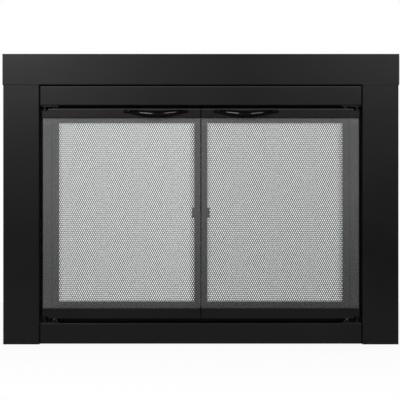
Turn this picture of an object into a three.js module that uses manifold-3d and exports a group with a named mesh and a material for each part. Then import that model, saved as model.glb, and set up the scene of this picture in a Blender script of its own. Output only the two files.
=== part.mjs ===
// Fireplace door unit: a folded steel surround, two frameless glass doors and two mesh gates behind them.
// Millimetres. X runs to the right seen from the room, Y from the room into the firebox, Z up from the hearth.
// Depths are counted from the wall face: forward of it Y is negative.
import * as THREE from "three";
import { mergeGeometries, mergeVertices } from "three/addons/utils/BufferGeometryUtils.js";
import Module from "manifold-3d";

const wasm = await Module();
wasm.setup();

// Clearances
const seat = 0.3; // between pieces that touch
const pinPlay = 0.3; // round a pin in its hole
const cutPast = 1; // how far a drill or a cutter runs past the face it leaves

// Surround
const unitWidth = 1115.8; // over the header's ends
const sheet = 1.6; // wall of every folded piece of the surround
const bendRadius = 1; // inside radius of its folds
const headerHeight = 87.8;
const headerDepth = 36;
const columnWidth = 101.9;
const columnDepth = 36;
const columnHeight = 729;
const columnInset = 1.7; // header's overhang past each column
const backLip = 12; // turned-in edges at the wall face
const trimDepth = 35; // lintel trim and sill rail
const trimEndGap = 3.3; // dark line between each column and the trims
const lintelHeight = 54.7;
const lintelShadow = 2.8; // dark line under the header
const sillHeight = 58.3;
const sillLift = 1.6; // clear of the hearth
const trimReturn = 18; // short flange at the far edge of each trim
const jambWidth = 30.6; // side strip seen beside each gate
const jambDepth = 10; // its face, forward of the wall
const stopDepth = 5.6; // back of the stop behind the gates, past the wall face
const stopLap = 8; // how far the stop covers the gate's edge

// Glass doors
const doorPlane = 25; // middle of the doors, forward of the wall
const doorSideGap = 8.9;
const doorTopGap = 8.5;
const doorBottomGap = 12.5;
const doorCentreGap = 2.8;
const doorRailDepth = 18;
const topRailHeight = 25.5;
const bottomRailHeight = 27.2;
const railWall = 1.8;
const railCorner = 1.5;
const railLip = 3; // height of the lips at the glass slot
const railRib = 2; // rib that the gasket's back rests on
const railRibGap = 6; // between the two ribs
const glassThickness = 5;
const glassChamfer = 0.7;
const glassCorner = 2;
const glassBite = 10; // how far the glass enters each rail
const gasketWall = 1.4;
const gasketShow = 0.8; // how far it stands out of the rail

// Door pivots
const pivotInset = 5.2; // pin's middle from the door's outer edge
const pivotRadius = 3;
const pivotCollarRadius = 6;
const pivotCollarHeight = 4.6;
const pivotNotchWidth = 15.3;
const pivotNotchHeight = 6.4;
const pivotBlockLength = 34;
const pivotBracketLength = 58.4;
const pivotBracketPlate = 3;
const pivotBracketReach = 34; // its front edge, forward of the wall
const pivotBracketCorner = 8;
const pivotBracketHoles = [9, 25]; // screws, from its inner end

// Handles
const handleInset = 34.7; // its end, from the door's meeting edge
const handleLength = 182.7;
const handleFootLength = 30;
const handleFootThickness = 5;
const handleEndHeight = 9;
const handleMiddleHeight = 6.4;
const handleBarThickness = 6;
const handleReach = 27; // how far it stands off the rail
const handleSag = 6; // how far its middle hangs below its feet
const handleDrop = 8.5; // feet's middle below the rail's top edge
const handleLiftPower = 0.75; // below 1 the bow leaves its feet more steeply
const handleSagPower = 1.5; // above 1 the sag keeps to its middle
const screwRadius = 2;
const screwHeadRadius = 3.8;
const screwHeadHeight = 2.2;
const screwGrip = 4; // thread inside the handle's foot

// Magnet catches
const catchInset = 25.6; // its middle, from the door's meeting edge
const catchWidth = 30;
const catchTabWidth = 40;
const catchDepth = 7.4;
const catchGateGap = 3.3; // above the gates' top edge
const strikeHeight = 10;
const strikePlate = 1.5;

// Mesh gates
const gatePlane = 2; // middle of the gates, forward of the wall
const gateSideGap = 2;
const gateCentreGap = 0.6;
const gateTopGap = 24.5;
const gateBottomGap = 34.9;
const gateDepth = 6;
const gateSheet = 1.4;
const gateRailHeight = 22.8;
const meetingStileWidth = 17.8;
const hingeStileWidth = 17.7;
const hingeRodRadius = 2.5;
const hingeBarrelRadius = 4;
const hingeSleeveRadius = 4.5;
const meshThickness = 2.6;
const meshColumns = 10; // diamonds side by side
const meshRows = 6; // and one above the other
const meshStrand = 3.6; // bar between two diamonds
const tabWidth = 24;
const tabHeight = 28;
const tabSheet = 1.5;
const tabGrip = 8; // how far its folded edge stands proud of the gate
const tabMiddle = 369.5; // above the hearth

// Fixings behind the surround
const angleLeg = 40; // corner brackets
const angleDepth = 30;
const anglePlate = 2;
const angleHoles = [14, 30]; // screws, from its fold
const clampInset = 103.7; // its middle, from the gate's hinge stile
const clampWidth = 40;
const clampPlate = 3;
const clampReach = 52; // past the wall face
const clampLip = 12;
const clampBoltBack = 36; // bolt's middle past the wall face
const clampBoltRadius = 4;
const clampBoltRise = 62; // top of its pad above the clamp plate
const clampPadRadius = 11;
const clampPadHeight = 3;
const clampHeadRadius = 7.5;
const clampHeadHeight = 6;
const clampHeadDrop = 8; // below the clamp plate
const floorInset = 43.7; // its middle, from the gate's hinge stile
const floorBracketWidth = 40;
const floorBracketReach = 55; // past the wall face
const floorBracketHeight = 98;
const floorBracketPlate = 2.5;
const floorHoleRadius = 4.5;
const floorSlotLength = 26;
const floorSlotWidth = 6;

// Facets
const roundSides = 24;
const smallSides = 12;
const hexSides = 6;
const bendSteps = 3;
const handleStations = 20;
const headingStep = 0.01; // share of the bow over which its heading is taken

// Places that follow from the sizes above
const headerBottom = columnHeight + seat;
const headerTop = headerBottom + headerHeight;
const columnOuter = unitWidth / 2 - columnInset;
const columnInner = columnOuter - columnWidth;
const frameEdge = columnInner - seat; // outer edge of the jambs
const trimEnd = columnInner - trimEndGap;
const lintelTop = headerBottom - lintelShadow;
const lintelBottom = lintelTop - lintelHeight;
const sillTop = sillLift + sillHeight;
const jambInner = frameEdge - jambWidth;
const stopFront = stopDepth - sheet;

const doorTop = lintelBottom - doorTopGap;
const doorBottom = sillTop + doorBottomGap;
const doorInner = doorCentreGap / 2;
const doorOuter = columnInner - doorSideGap;
const doorFront = -doorPlane - doorRailDepth / 2;
const doorBack = -doorPlane + doorRailDepth / 2;
const handleCentre = doorInner + handleInset + handleLength / 2;
const handleScrewX = [-1, 1].map((side) => handleCentre + (side * (handleLength - handleFootLength)) / 2);
const handleScrewZ = doorTop - handleDrop;
const handleFront = doorFront - seat - handleReach;
const catchCentre = doorInner + catchInset;
const pivotX = doorOuter - pivotInset;
const gasketHalf = glassThickness / 2 + seat + gasketWall;
const slotHalf = gasketHalf + seat;
const chamberHalf = doorRailDepth / 2 - railWall;
const ribNear = glassBite + seat + gasketWall + seat; // rib's near side, from the rail's mouth
const ribFar = ribNear + railRib;

const gateOuter = jambInner - gateSideGap;
const gateInner = gateCentreGap / 2;
const gateTop = lintelBottom - gateTopGap;
const gateBottom = sillTop + gateBottomGap;
const hingeX = gateOuter - hingeBarrelRadius;
const gateFront = -gatePlane - gateDepth / 2;
const gateBack = -gatePlane + gateDepth / 2;
const windowOuter = gateOuter - hingeStileWidth; // between the gate's stiles
const windowInner = gateInner + meetingStileWidth;
const stopLow = gateBottom + stopLap;
const stopHigh = gateTop - stopLap;
const stopEdge = windowOuter + stopLap; // inner edge of the jambs' stop lips
const clampCentre = windowOuter - clampInset;
const floorCentre = windowOuter - floorInset;

// Materials
const paint = new THREE.MeshStandardMaterial({ color: 0x1b1b1c, roughness: 0.42, metalness: 0.1 });
const railPaint = new THREE.MeshStandardMaterial({ color: 0x1d1d1e, roughness: 0.4, metalness: 0.1 });
const gatePaint = new THREE.MeshStandardMaterial({ color: 0x242425, roughness: 0.55, metalness: 0.1 });
const handlePaint = new THREE.MeshStandardMaterial({ color: 0x101011, roughness: 0.28, metalness: 0.15 });
const zinc = new THREE.MeshStandardMaterial({ color: 0x9a9b9c, roughness: 0.35, metalness: 0.9 });
const clearGlass = new THREE.MeshStandardMaterial({
  color: 0xe6efeb,
  roughness: 0.03,
  metalness: 0,
  transparent: true,
  opacity: 0.25,
});
const gasketFibre = new THREE.MeshStandardMaterial({ color: 0x161616, roughness: 0.9, metalness: 0 });
const magnet = new THREE.MeshStandardMaterial({ color: 0x2c2a29, roughness: 0.7, metalness: 0.2 });

// A closed geometry as a solid for cutting and joining.
function solidOf(geometry) {
  const plain = geometry.clone();
  plain.deleteAttribute("normal");
  plain.deleteAttribute("uv");
  const merged = mergeVertices(plain, 1e-4);
  return new wasm.Manifold(
    new wasm.Mesh({
      numProp: 3,
      vertProperties: new Float32Array(merged.attributes.position.array),
      triVerts: new Uint32Array(merged.index.array),
    }),
  );
}

function geometryOf(solid) {
  const made = solid.getMesh();
  const geometry = new THREE.BufferGeometry();
  geometry.setAttribute("position", new THREE.BufferAttribute(made.vertProperties, 3));
  geometry.setIndex(new THREE.BufferAttribute(made.triVerts, 1));
  geometry.computeVertexNormals();
  return geometry;
}

function join(...geometries) {
  return geometryOf(geometries.map(solidOf).reduce((all, next) => all.add(next)));
}

function cut(geometry, ...tools) {
  return geometryOf(tools.map(solidOf).reduce((left, tool) => left.subtract(tool), solidOf(geometry)));
}

function ordered(a, b) {
  return a < b ? [a, b] : [b, a];
}

// The two ends of a cut, each past the face that it leaves.
function past(low, high) {
  return [low - cutPast, high + cutPast];
}

function block(x, y, z) {
  const size = [x, y, z].map(([low, high]) => high - low);
  const middle = [x, y, z].map(([low, high]) => (low + high) / 2);
  return new THREE.BoxGeometry(...size).translate(...middle);
}

// A closed outline drawn on two axes, run along the third between two places.
function shapeOf(points) {
  return new THREE.Shape(points.map(([a, b]) => new THREE.Vector2(a, b)));
}

function runAlong(axis, shape, [low, high], bevel = {}) {
  const geometry = new THREE.ExtrudeGeometry(shape, {
    depth: high - low,
    bevelEnabled: false,
    ...bevel,
  });
  const turn = {
    x: new THREE.Matrix4().set(0, 0, 1, low, 1, 0, 0, 0, 0, 1, 0, 0, 0, 0, 0, 1), // outline in Y, Z
    y: new THREE.Matrix4().set(1, 0, 0, 0, 0, 0, -1, high, 0, 1, 0, 0, 0, 0, 0, 1), // outline in X, Z
    z: new THREE.Matrix4().makeTranslation(0, 0, low), // outline in X, Y
  };
  return geometry.applyMatrix4(turn[axis]);
}

// A solid turned about an upright line, from its radius and height pairs.
function turned(x, y, profile, sides = roundSides) {
  const points = profile.map(([radius, height]) => new THREE.Vector2(radius, height));
  return new THREE.LatheGeometry(points, sides).rotateX(Math.PI / 2).translate(x, y, 0);
}

function pin(x, y, radius, low, high, sides = roundSides) {
  return turned(x, y, [[0, low], [radius, low], [radius, high], [0, high]], sides);
}

// A drill along Y at a place on the X and Z axes.
function crossDrill(x, z, radius, [near, far], sides = smallSides) {
  const drill = new THREE.CylinderGeometry(radius, radius, far - near, sides);
  return drill.translate(x, (near + far) / 2, z);
}

// The section of a strip of sheet folded along a line of points. Its skin lies on the points and its
// thickness to their left, or to their right where it is negative, with a round at each fold.
function folded(points, thickness, radius = bendRadius) {
  const hand = Math.sign(thickness);
  const wall = Math.abs(thickness);
  const line = points.map(([a, b]) => new THREE.Vector2(a, b));
  const heading = line.slice(1).map((point, i) => point.clone().sub(line[i]).normalize());
  const inward = heading.map((way) => new THREE.Vector2(-hand * way.y, hand * way.x));
  const skin = [line[0]];
  const inside = [line[0].clone().addScaledVector(inward[0], wall)];
  for (let i = 1; i < heading.length; i++) {
    const before = inward[i - 1];
    const after = inward[i];
    const turn = Math.sign(heading[i - 1].cross(heading[i]));
    const side = turn * hand;
    const skinRadius = side > 0 ? radius + wall : radius;
    const insideRadius = side > 0 ? radius : radius + wall;
    const spread = before.clone().add(after).divideScalar(1 + before.dot(after));
    const middle = line[i].clone().addScaledVector(spread, side * skinRadius);
    const sweep = turn * Math.acos(THREE.MathUtils.clamp(before.dot(after), -1, 1));
    for (let step = 0; step <= bendSteps; step++) {
      const angle = before.angle() + (sweep * step) / bendSteps;
      const out = new THREE.Vector2(Math.cos(angle), Math.sin(angle));
      skin.push(middle.clone().addScaledVector(out, -side * skinRadius));
      inside.push(middle.clone().addScaledVector(out, -side * insideRadius));
    }
  }
  const last = line[line.length - 1];
  skin.push(last);
  inside.push(last.clone().addScaledVector(inward[inward.length - 1], wall));
  return new THREE.Shape([...skin, ...inside.reverse()]);
}

// Points round part of a circle, both ends included.
function arc([x, y], radius, [from, to], steps) {
  return Array.from({ length: steps + 1 }, (_, step) => {
    const angle = from + ((to - from) * step) / steps;
    return [x + radius * Math.cos(angle), y + radius * Math.sin(angle)];
  });
}

// The outline round a line between two places, with half a circle at each end.
function slotShape([x1, z1], [x2, z2], radius) {
  const heading = Math.atan2(z2 - z1, x2 - x1);
  const quarter = Math.PI / 2;
  return shapeOf([
    ...arc([x2, z2], radius, [heading - quarter, heading + quarter], 2 * bendSteps),
    ...arc([x1, z1], radius, [heading + quarter, heading + 3 * quarter], 2 * bendSteps),
  ]);
}

// A rectangle with round corners, by its low and high edges.
function roundedRectangle([left, right], [low, high], radius) {
  const centres = [
    [right - radius, high - radius],
    [left + radius, high - radius],
    [left + radius, low + radius],
    [right - radius, low + radius],
  ];
  return shapeOf(
    centres.flatMap((centre, i) => arc(centre, radius, [(i * Math.PI) / 2, ((i + 1) * Math.PI) / 2], bendSteps)),
  );
}

// Surround: every piece is folded sheet, open towards the wall.

function header() {
  const half = unitWidth / 2;
  const section = folded(
    [
      [0, headerBottom + backLip],
      [0, headerBottom],
      [-headerDepth, headerBottom],
      [-headerDepth, headerTop],
      [0, headerTop],
      [0, headerTop - backLip],
    ],
    -sheet,
  );
  const shell = runAlong("x", section, [-half, half]);
  const ends = [-half, half - sheet].map((x) =>
    block([x, x + sheet], [-headerDepth + sheet / 2, -sheet / 2], [headerBottom + sheet / 2, headerTop - sheet / 2]),
  );
  return join(shell, ...ends);
}

function column() {
  const section = folded(
    [
      [columnInner + backLip, 0],
      [columnInner, 0],
      [columnInner, -columnDepth],
      [columnOuter, -columnDepth],
      [columnOuter, 0],
      [columnOuter - backLip, 0],
    ],
    sheet,
  );
  return runAlong("z", section, [0, columnHeight]);
}

// The trim's section from its far flange over the face and under the doors to the stop behind the gates.
function trimSection(far, near, stop) {
  return [
    [-trimDepth + trimReturn, far],
    [-trimDepth, far],
    [-trimDepth, near],
    [stopFront, near],
    [stopFront, stop],
  ];
}

// Holes for the gates' hinge rods and the doors' pins, and the corners that the jambs' stop lips need.
function trimCuts(flange, stop) {
  const through = [Math.min(flange, stop) - 2 * sheet, Math.max(flange, stop) + 2 * sheet];
  const zone = ordered(flange, stop + Math.sign(stop - flange) * sheet);
  const behind = [stopFront - sheet, stopDepth + sheet];
  return [-1, 1].flatMap((side) => [
    pin(side * hingeX, -gatePlane, hingeRodRadius + pinPlay, ...through, smallSides),
    pin(side * pivotX, -doorPlane, pivotRadius + pinPlay, ...through, smallSides),
    block(ordered(side * (stopEdge - seat), side * (frameEdge + sheet)), behind, zone),
  ]);
}

function lintelTrim() {
  const section = folded(trimSection(lintelTop, lintelBottom, stopHigh), sheet);
  return cut(runAlong("x", section, [-trimEnd, trimEnd]), ...trimCuts(lintelBottom, stopHigh));
}

function sillRail() {
  const section = folded(trimSection(sillLift, sillTop, stopLow), -sheet);
  return cut(runAlong("x", section, [-trimEnd, trimEnd]), ...trimCuts(sillTop, stopLow));
}

function jamb() {
  const section = folded(
    [
      [frameEdge, stopDepth],
      [frameEdge, -jambDepth],
      [jambInner, -jambDepth],
      [jambInner, stopFront],
      [stopEdge, stopFront],
    ],
    -sheet,
  );
  return runAlong("z", section, [sillTop + seat, lintelBottom - seat]);
}

// An angle under the header's bottom wall and against the column's inner wall.
function cornerBracket() {
  const x = columnInner + sheet + seat;
  const z = columnHeight - seat;
  const section = folded([[x + angleLeg, z], [x, z], [x, z - angleLeg]], anglePlate);
  const middle = -columnDepth / 2;
  const angle = runAlong("y", section, [middle - angleDepth / 2, middle + angleDepth / 2]);
  const through = past(z - anglePlate, z);
  const holes = angleHoles.map((out) => pin(x + out, middle, screwRadius, ...through, smallSides));
  return cut(angle, ...holes);
}

// A drilled plate that carries a door's pin under the lintel or on the sill.
function pivotBracket(low) {
  const right = frameEdge - seat;
  const left = right - pivotBracketLength;
  const outline = roundedRectangle([left, right], [-pivotBracketReach, -jambDepth - seat], pivotBracketCorner);
  const plate = runAlong("z", outline, [low, low + pivotBracketPlate]);
  const through = past(low, low + pivotBracketPlate);
  const holes = pivotBracketHoles.map((out) =>
    pin(left + out, -(trimDepth + jambDepth) / 2, screwRadius, ...through, smallSides),
  );
  return cut(plate, pin(pivotX, -doorPlane, pivotRadius + pinPlay, ...through, smallSides), ...holes);
}

function magnetCatch() {
  const front = doorBack + seat + strikePlate + seat;
  const top = lintelBottom - seat;
  const tab = block(
    [catchCentre - catchTabWidth / 2, catchCentre + catchTabWidth / 2],
    [front, stopFront - bendRadius - seat],
    [top - sheet, top],
  );
  const body = block(
    [catchCentre - catchWidth / 2, catchCentre + catchWidth / 2],
    [front, front + catchDepth],
    [gateTop + catchGateGap, top - sheet / 2],
  );
  return join(tab, body);
}

// A plate from the lintel trim back under the fireplace lintel, with a weld nut for the bolt.
function lintelClamp() {
  const z = lintelBottom + sheet + seat;
  const section = folded([[-doorPlane + sheet, z], [clampReach, z], [clampReach, z + clampLip]], clampPlate);
  const across = [clampCentre - clampWidth / 2, clampCentre + clampWidth / 2];
  const nutTop = z + 2 * clampPlate;
  const nut = pin(clampCentre, clampBoltBack, clampHeadRadius, z + clampPlate / 2, nutTop, hexSides);
  const bore = pin(clampCentre, clampBoltBack, clampBoltRadius + pinPlay, ...past(z, nutTop), smallSides);
  return cut(join(runAlong("x", section, across), nut), bore);
}

function clampBolt() {
  const plate = lintelBottom + sheet + seat;
  const top = plate + clampBoltRise;
  const foot = plate - clampHeadDrop;
  const shank = turned(clampCentre, clampBoltBack, [
    [0, foot - clampHeadHeight / 2],
    [clampBoltRadius, foot - clampHeadHeight / 2],
    [clampBoltRadius, top - 2 * clampPadHeight],
    [clampPadRadius, top - clampPadHeight],
    [clampPadRadius, top],
    [0, top],
  ]);
  return join(shank, pin(clampCentre, clampBoltBack, clampHeadRadius, foot - clampHeadHeight, foot, hexSides));
}

// An angle from the sill's stop down to the firebox floor, slotted for height, drilled for an anchor.
function floorBracket() {
  const front = stopDepth + seat;
  const section = folded([[floorBracketReach, 0], [front, 0], [front, floorBracketHeight]], -floorBracketPlate);
  const across = [floorCentre - floorBracketWidth / 2, floorCentre + floorBracketWidth / 2];
  const anchorY = (front + floorBracketReach) / 2;
  const anchor = pin(floorCentre, anchorY, floorHoleRadius, ...past(0, floorBracketPlate), smallSides);
  const slots = [-1, 1].map((side) => {
    const x = floorCentre + (side * floorBracketWidth) / 4;
    const radius = floorSlotWidth / 2;
    const high = floorBracketHeight - floorSlotWidth - radius;
    const outline = slotShape([x, high - floorSlotLength + floorSlotWidth], [x, high], radius);
    return runAlong("y", outline, past(front, front + floorBracketPlate));
  });
  return cut(runAlong("x", section, across), anchor, ...slots);
}

// Glass doors: each rail is an extrusion with a slot for the gasket and a chamber for the pivot block.

function railSection(mouth, up, height) {
  const back = mouth + up * height;
  const half = doorRailDepth / 2;
  const near = mouth + up * ribNear;
  const far = mouth + up * ribFar;
  const corner = arc([half - railCorner, height - railCorner], railCorner, [0, Math.PI / 2], bendSteps);
  const cornerAt = (side) => corner.map(([out, rise]) => [side * out, mouth + up * rise]);
  const halfInside = (side) => [
    [side * chamberHalf, back - up * railWall],
    [side * chamberHalf, far],
    [(side * railRibGap) / 2, far],
    [(side * railRibGap) / 2, near],
    [side * chamberHalf, near],
    [side * chamberHalf, mouth + up * railLip],
    [side * slotHalf, mouth + up * railLip],
    [side * slotHalf, mouth],
    [side * half, mouth],
  ];
  const outline = [
    ...halfInside(-1),
    ...cornerAt(-1),
    ...cornerAt(1).reverse(),
    ...halfInside(1).reverse(),
  ];
  return outline.map(([y, z]) => [y - doorPlane, z]);
}

function doorRail(mouth, up, height) {
  const back = mouth + up * height;
  const bar = runAlong("x", shapeOf(railSection(mouth, up, height)), [doorInner, doorOuter]);
  const endCap = block(
    [doorInner, doorInner + railWall],
    [-doorPlane - chamberHalf - railWall / 2, -doorPlane + chamberHalf + railWall / 2],
    ordered(mouth + up * (ribFar - railRib / 2), back - (up * railWall) / 2),
  );
  const notch = block(
    [doorOuter - pivotNotchWidth, doorOuter + railWall],
    [doorFront - railWall, doorBack + railWall],
    ordered(back - up * pivotNotchHeight, back + up * railWall),
  );
  return cut(join(bar, endCap), notch);
}

function doorTopRail() {
  const drills = handleScrewX.map((x) =>
    crossDrill(x, handleScrewZ, screwRadius + pinPlay, past(doorFront, doorBack)),
  );
  return cut(doorRail(doorTop - topRailHeight, 1, topRailHeight), ...drills);
}

function doorBottomRail() {
  return doorRail(doorBottom + bottomRailHeight, -1, bottomRailHeight);
}

function doorGlass() {
  const low = doorBottom + bottomRailHeight - glassBite + glassChamfer;
  const high = doorTop - topRailHeight + glassBite - glassChamfer;
  const outline = roundedRectangle([doorInner + glassChamfer, doorOuter - glassChamfer], [low, high], glassCorner);
  const middle = glassThickness / 2 - glassChamfer;
  return runAlong("y", outline, [-doorPlane - middle, -doorPlane + middle], {
    bevelEnabled: true,
    bevelSize: glassChamfer,
    bevelThickness: glassChamfer,
    bevelSegments: 1,
  });
}

// A channel of gasket over the glass edge. Its back rests on the rail's ribs.
function doorGasket(mouth, up) {
  const open = mouth - up * gasketShow;
  const floor = mouth + up * (glassBite + seat);
  const inner = glassThickness / 2 + seat;
  const outline = [
    [-gasketHalf, open],
    [-gasketHalf, floor + up * gasketWall],
    [gasketHalf, floor + up * gasketWall],
    [gasketHalf, open],
    [inner, open],
    [inner, floor],
    [-inner, floor],
    [-inner, open],
  ];
  const section = shapeOf(outline.map(([y, z]) => [y - doorPlane, z]));
  return runAlong("x", section, [doorInner, doorOuter]);
}

// The block in the rail's hinge end with its pin, and the collar that runs on the pivot bracket.
function doorPivot(mouth, up, height, bracketFace, pinEnd) {
  const back = mouth + up * height;
  const floor = mouth + up * (ribFar + seat);
  const depth = [-doorPlane - chamberHalf + seat, -doorPlane + chamberHalf - seat];
  const notchFloor = back - up * (pivotNotchHeight + seat);
  const inRail = block(
    [doorOuter - pivotBlockLength, doorOuter - pivotNotchWidth - seat],
    depth,
    ordered(floor, back - up * (railWall + seat)),
  );
  const inNotch = block([doorOuter - pivotBlockLength, doorOuter - seat], depth, ordered(floor, notchFloor));
  const shank = pin(pivotX, -doorPlane, pivotRadius, ...ordered(notchFloor - up * railWall, pinEnd));
  const collarFace = bracketFace - up * seat;
  const collar = pin(
    pivotX,
    -doorPlane,
    pivotCollarRadius,
    ...ordered(collarFace - up * pivotCollarHeight, collarFace),
    smallSides,
  );
  return join(inRail, inNotch, shank, collar);
}

// A bow pull. Its bar leaves one foot, arches off the rail while it sags a little, and comes down on the other.
function doorHandle() {
  const back = doorFront - seat;
  const halfSpan = (handleLength - handleFootLength) / 2;
  const rise = handleReach - handleBarThickness / 2 - handleFootThickness / 2;
  const path = (t) => {
    const bow = Math.sin(Math.PI * t);
    return new THREE.Vector3(
      handleCentre + halfSpan * (2 * t - 1),
      back - handleFootThickness / 2 - rise * bow ** handleLiftPower,
      handleScrewZ - handleSag * bow ** handleSagPower,
    );
  };
  const positions = [];
  for (let station = 0; station <= handleStations; station++) {
    const t = station / handleStations;
    const ahead = path(Math.min(t + headingStep, 1));
    const along = ahead.sub(path(Math.max(t - headingStep, 0))).normalize();
    const out = new THREE.Vector3(along.y, -along.x, 0).normalize();
    const upward = out.clone().cross(along).normalize();
    const tall = THREE.MathUtils.lerp(handleEndHeight, handleMiddleHeight, Math.sin(Math.PI * t)) / 2;
    for (let side = 0; side < smallSides; side++) {
      const angle = (2 * Math.PI * side) / smallSides;
      const point = path(t)
        .addScaledVector(out, (handleBarThickness / 2) * Math.cos(angle))
        .addScaledVector(upward, tall * Math.sin(angle));
      positions.push(point.x, point.y, point.z);
    }
  }
  const index = [];
  for (let station = 0; station < handleStations; station++) {
    for (let side = 0; side < smallSides; side++) {
      const a = station * smallSides + side;
      const b = station * smallSides + ((side + 1) % smallSides);
      index.push(a, a + smallSides, b, b, a + smallSides, b + smallSides);
    }
  }
  for (let side = 1; side < smallSides - 1; side++) {
    const end = handleStations * smallSides;
    index.push(0, side, side + 1, end, end + side + 1, end + side);
  }
  const bar = new THREE.BufferGeometry();
  bar.setAttribute("position", new THREE.Float32BufferAttribute(positions, 3));
  bar.setIndex(index);
  const footRadius = handleEndHeight / 2;
  const footReach = handleFootLength / 2 - footRadius;
  const feet = handleScrewX.map((x) => {
    const outline = slotShape([x - footReach, handleScrewZ], [x + footReach, handleScrewZ], footRadius);
    return runAlong("y", outline, [back - handleFootThickness, back]);
  });
  const drills = handleScrewX.map((x) =>
    crossDrill(x, handleScrewZ, screwRadius + pinPlay, [back - screwGrip - seat, back + cutPast]),
  );
  return cut(join(bar, ...feet), ...drills);
}

function handleScrew(x) {
  const head = doorBack + seat;
  const shank = crossDrill(x, handleScrewZ, screwRadius, [doorFront - seat - screwGrip, head + screwHeadHeight / 2]);
  const cap = crossDrill(x, handleScrewZ, screwHeadRadius, [head, head + screwHeadHeight]);
  return join(shank, cap);
}

function doorStrike() {
  const low = gateTop + catchGateGap;
  const front = doorBack + seat;
  return block(
    [catchCentre - catchWidth / 2, catchCentre + catchWidth / 2],
    [front, front + strikePlate],
    [low, low + strikeHeight],
  );
}

// Mesh gates: folded channels round an expanded-metal sheet, turning on a full-height rod.

// A channel's section: two plates and the fold between them, open away from the fold.
function channelSection(fold, open) {
  const line = [[gateFront, open], [gateFront, fold], [gateBack, fold], [gateBack, open]];
  return { line, towards: Math.sign(open - fold) };
}

function gateRail(fold, open) {
  const { line, towards } = channelSection(fold, open);
  const section = folded(line, towards * gateSheet, bendRadius / 2);
  return runAlong("x", section, [windowInner + seat, windowOuter - seat]);
}

function gateStile(fold, open) {
  const { line, towards } = channelSection(fold, open);
  const section = folded(line.map(([y, x]) => [x, y]), -towards * gateSheet, bendRadius / 2);
  return runAlong("z", section, [gateBottom, gateTop]);
}

function gateHingeStile() {
  const fold = hingeX - hingeBarrelRadius + gateSheet;
  const barrel = pin(hingeX, -gatePlane, hingeBarrelRadius, gateBottom, gateTop);
  const bore = pin(hingeX, -gatePlane, hingeRodRadius + pinPlay, ...past(gateBottom, gateTop));
  return cut(join(gateStile(fold, windowOuter), barrel), bore);
}

function gateHingeRod() {
  return turned(hingeX, -gatePlane, [
    [0, sillTop - 2 * sheet],
    [hingeRodRadius, sillTop - 2 * sheet],
    [hingeRodRadius, sillTop + seat],
    [hingeSleeveRadius, sillTop + seat],
    [hingeSleeveRadius, gateBottom - seat],
    [hingeRodRadius, gateBottom - seat],
    [hingeRodRadius, lintelBottom + 2 * sheet],
    [0, lintelBottom + 2 * sheet],
  ]);
}

// Staggered diamonds over the clear window, cut off at its edges, inside a plain border in the channels.
function gateMesh() {
  const hidden = gateSheet + seat;
  const depth = [-gatePlane - meshThickness / 2, -gatePlane + meshThickness / 2];
  const through = past(...depth);
  const plate = block(
    [gateInner + hidden, hingeX - hingeBarrelRadius - seat],
    depth,
    [gateBottom + hidden, gateTop - hidden],
  );
  const [left, right] = [windowInner, windowOuter];
  const [low, high] = [gateBottom + gateRailHeight, gateTop - gateRailHeight];
  const cellWidth = (right - left) / meshColumns;
  const cellHeight = (high - low) / meshRows;
  const lean = Math.hypot(cellWidth, cellHeight);
  const halfWidth = cellWidth / 2 - (meshStrand * lean) / (2 * cellHeight);
  const halfHeight = cellHeight / 2 - (meshStrand * lean) / (2 * cellWidth);
  const diamonds = [];
  for (let row = 0; row <= 2 * meshRows; row++) {
    for (let column = row % 2; column <= 2 * meshColumns; column += 2) {
      const x = left + (column * cellWidth) / 2;
      const z = low + (row * cellHeight) / 2;
      const outline = [[x, z - halfHeight], [x + halfWidth, z], [x, z + halfHeight], [x - halfWidth, z]];
      diamonds.push(runAlong("y", shapeOf(outline), through));
    }
  }
  const openings = solidOf(mergeGeometries(diamonds)).intersect(solidOf(block([left, right], through, [low, high])));
  return geometryOf(solidOf(plate).subtract(openings));
}

// A bent plate on the meeting stile. Its outer edge folds forward as a grip.
function gatePullTab() {
  const back = gateFront - seat;
  const inner = gateInner + seat;
  const section = folded(
    [[inner, back], [inner + tabWidth, back], [inner + tabWidth, back - tabGrip]],
    -tabSheet,
  );
  return runAlong("z", section, [tabMiddle - tabHeight / 2, tabMiddle + tabHeight / 2]);
}

// Assembly: the right-hand pieces are modelled, and the left-hand ones are their mirror image.

function add(group, name, geometry, material) {
  const mesh = new THREE.Mesh(geometry, material);
  mesh.name = name;
  group.add(mesh);
}

const topMouth = doorTop - topRailHeight;
const bottomMouth = doorBottom + bottomRailHeight;
const topBracketLow = lintelBottom - seat - pivotBracketPlate;
const bottomBracketLow = sillTop + seat;

const sidePieces = [
  ["column", column(), paint],
  ["jamb", jamb(), paint],
  ["corner_bracket", cornerBracket(), zinc],
  ["pivot_bracket_top", pivotBracket(topBracketLow), railPaint],
  ["pivot_bracket_bottom", pivotBracket(bottomBracketLow), railPaint],
  ["magnet_catch", magnetCatch(), magnet],
  ["lintel_clamp", lintelClamp(), zinc],
  ["clamp_bolt", clampBolt(), zinc],
  ["floor_bracket", floorBracket(), zinc],
];

const doorPieces = [
  ["door_top_rail", doorTopRail(), railPaint],
  ["door_bottom_rail", doorBottomRail(), railPaint],
  ["door_glass", doorGlass(), clearGlass],
  ["door_top_gasket", doorGasket(topMouth, 1), gasketFibre],
  ["door_bottom_gasket", doorGasket(bottomMouth, -1), gasketFibre],
  ["door_handle", doorHandle(), handlePaint],
  ["door_handle_screw_inner", handleScrew(handleScrewX[0]), zinc],
  ["door_handle_screw_outer", handleScrew(handleScrewX[1]), zinc],
  ["door_top_pivot", doorPivot(topMouth, 1, topRailHeight, topBracketLow, lintelBottom + sheet), railPaint],
  [
    "door_bottom_pivot",
    doorPivot(bottomMouth, -1, bottomRailHeight, bottomBracketLow + pivotBracketPlate, sillTop - sheet),
    railPaint,
  ],
  ["door_strike", doorStrike(), zinc],
];

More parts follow.
